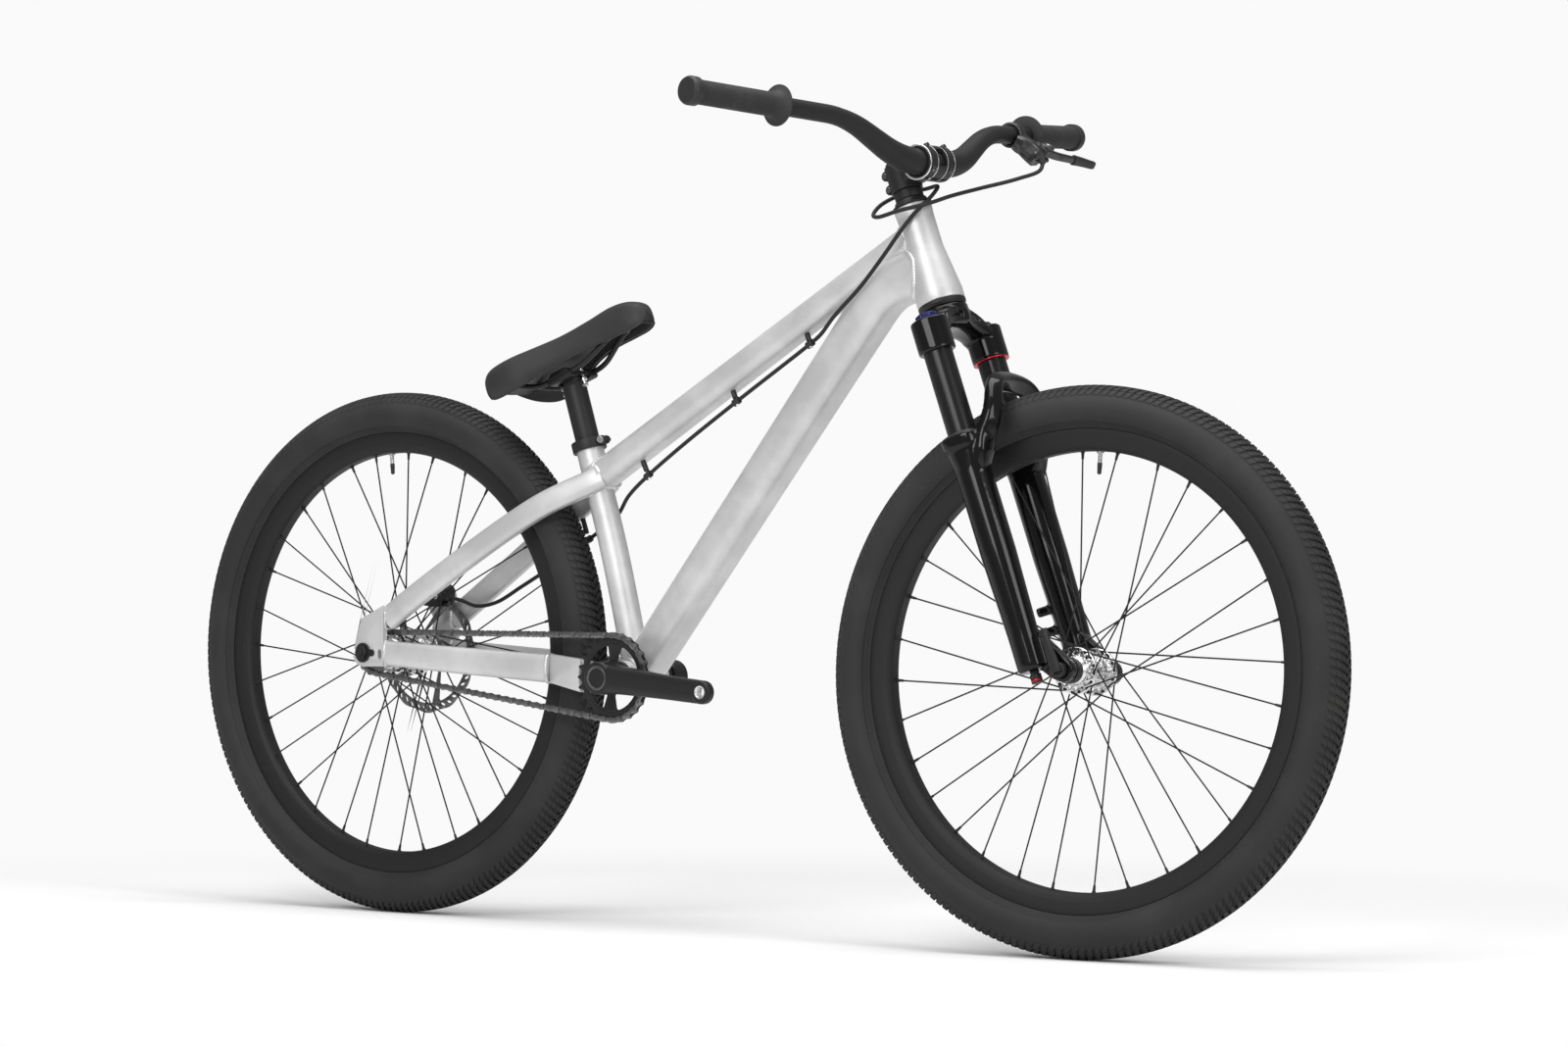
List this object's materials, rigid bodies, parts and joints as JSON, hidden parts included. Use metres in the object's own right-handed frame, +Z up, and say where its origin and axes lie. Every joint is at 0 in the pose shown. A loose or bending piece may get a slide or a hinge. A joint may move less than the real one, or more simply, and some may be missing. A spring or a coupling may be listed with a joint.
{
  "type": "bicycle",
  "caption": "Dirt jump bicycle with a low brushed aluminium frame, short suspension fork, riser bar, small saddle, single speed chain drive and a rear disc brake",
  "frame": {"origin": "on the floor, midway along and across the bike's outer box", "axes": "+X forward, +Y to the rider's left, +Z up"},
  "size_m": [1.7376, 0.7908, 1.0158],
  "materials": {
    "raw_aluminium": "brushed, clear coated",
    "polished_aluminium": "polished",
    "dark_steel": "dark satin",
    "black_metal": "satin black anodised",
    "gloss_black": "gloss black paint",
    "blue_metal": "blue anodised",
    "red_metal": "red anodised",
    "black_plastic": "matte",
    "saddle_cloth": "matt synthetic leather over foam",
    "grip_rubber": "matt",
    "tyre_rubber": "matt"
  },
  "bodies": {
    "frame": {"head_tube": "raw_aluminium", "top_tube": "raw_aluminium", "down_tube": "raw_aluminium", "seat_tube": "raw_aluminium", "bottom_bracket_shell": "raw_aluminium", "chainstay_yoke": "raw_aluminium", "dropout_right": "raw_aluminium", "dropout_left": "raw_aluminium", "chainstay_right": "raw_aluminium", "chainstay_left": "raw_aluminium", "seatstay_right": "raw_aluminium", "seatstay_left": "raw_aluminium", "bottom_bracket_cup_right": "black_metal", "bottom_bracket_cup_left": "black_metal", "headset_lower_cup": "black_metal", "headset_upper_cup": "black_metal", "rear_axle": "black_metal", "seat_collar": "black_metal", "brake_caliper": "black_metal", "brake_hose_rear": "black_plastic", "chain": "dark_steel"},
    "pad_outer": {"brake_pad_outer": "dark_steel"},
    "pad_inner": {"brake_pad_inner": "dark_steel"},
    "fork": {"steerer": "dark_steel", "fork_crown": "gloss_black", "stanchion_right": "gloss_black", "stanchion_left": "gloss_black", "headset_spacer": "black_metal", "stem": "black_metal", "stem_faceplate": "black_metal", "stem_cap": "black_metal", "handlebar": "black_metal", "grip_right": "grip_rubber", "grip_left": "grip_rubber", "brake_lever_body": "black_metal", "brake_hose_front": "black_plastic"},
    "compression_adjuster": {"compression_dial": "blue_metal"},
    "lever_blade": {"brake_lever_blade": "black_metal"},
    "lowers": {"fork_lowers": "gloss_black", "front_axle": "black_metal"},
    "rebound_adjuster": {"rebound_knob": "red_metal"},
    "cam_lever": {"axle_lever": "black_metal"},
    "front_wheel": {"front_tyre": "tyre_rubber", "front_rim_and_spokes": "black_metal", "front_hub": "polished_aluminium"},
    "rear_wheel": {"rear_tyre": "tyre_rubber", "rear_rim_and_spokes": "black_metal", "rear_hub": "polished_aluminium", "brake_rotor": "dark_steel"},
    "cog": {"rear_cog": "dark_steel"},
    "cranks": {"crank_arm_right": "black_metal", "crank_arm_left": "black_metal", "crank_bolt": "black_metal", "chainring": "black_metal"},
    "post": {"seatpost": "black_metal"},
    "saddle": {"saddle_cradle": "black_metal", "saddle_clamp": "black_metal", "saddle_rails": "black_metal", "saddle_base": "black_plastic", "saddle_cover": "saddle_cloth"}
  },
  "joints": [
    {"name": "steering", "type": "hinge", "parent": "frame", "child": "fork", "pos_m": [0.49597, 0, 0.32095], "axis": [-0.3584, 0, 0.9336], "range_deg": [-66.7, 53.3], "deforming": ["brake_hose_front"]},
    {"name": "fork_travel", "type": "slide", "parent": "fork", "child": "lowers", "axis": [-0.3584, 0, 0.9336], "range_m": [0, 0.1], "stiffness_N_per_m": 6000, "springref_m": -0.02},
    {"name": "front_wheel_spin", "type": "hinge", "parent": "lowers", "child": "front_wheel", "pos_m": [0.53491, 0.0049, 0.3359], "axis": [-0.1089, 0.9932, -0.0418], "continuous": true},
    {"name": "axle_lever_swing", "type": "hinge", "parent": "lowers", "child": "cam_lever", "pos_m": [0.54337, -0.07217, 0.33914], "axis": [0.9272, 0.1167, 0.3559], "range_deg": [0, 180]},
    {"name": "rebound_turn", "type": "hinge", "parent": "lowers", "child": "rebound_adjuster", "pos_m": [0.51068, -0.06351, 0.32874], "axis": [-0.3584, 0, 0.9336], "range_deg": [0, 300]},
    {"name": "compression_turn", "type": "hinge", "parent": "fork", "child": "compression_adjuster", "pos_m": [0.3487, -0.06351, 0.75072], "axis": [-0.3584, 0, 0.9336], "range_deg": [0, 90]},
    {"name": "brake_lever_pull", "type": "hinge", "parent": "fork", "child": "lever_blade", "pos_m": [0.30904, 0.23437, 0.96727], "axis": [0.5, 0, 0.866], "range_deg": [0, 18], "stiffness_Nm_per_rad": 2},
    {"name": "pad_outer_slide", "type": "slide", "parent": "frame", "child": "pad_outer", "axis": [0, -1, 0], "range_m": [0, 0.0006]},
    {"name": "pad_inner_slide", "type": "slide", "parent": "frame", "child": "pad_inner", "axis": [0, 1, 0], "range_m": [0, 0.0006]},
    {"name": "rear_wheel_spin", "type": "hinge", "parent": "frame", "child": "rear_wheel", "pos_m": [-0.53282, 0, 0.336], "axis": [0, 1, 0], "continuous": true},
    {"name": "crank_spin", "type": "hinge", "parent": "frame", "child": "cranks", "pos_m": [-0.13748, 0, 0.313], "axis": [0, 1, 0], "continuous": true, "deforming": ["chain"]},
    {"name": "cog_spin", "type": "hinge", "parent": "frame", "child": "cog", "pos_m": [-0.53282, 0, 0.336], "axis": [0, 1, 0], "continuous": true},
    {"name": "seatpost_height", "type": "slide", "parent": "frame", "child": "post", "axis": [-0.3173, 0, 0.9483], "range_m": [-0.003, 0.02]},
    {"name": "saddle_tilt", "type": "hinge", "parent": "post", "child": "saddle", "pos_m": [-0.25033, 0, 0.68935], "axis": [0, 1, 0], "range_deg": [-5, 5]}
  ],
  "couplings": [
    {"joint": "pad_outer_slide", "follows": "brake_lever_pull", "m_per_rad": 0.0019},
    {"joint": "pad_inner_slide", "follows": "brake_lever_pull", "m_per_rad": 0.0019},
    {"joint": "cog_spin", "follows": "crank_spin", "ratio": 2}
  ]
}
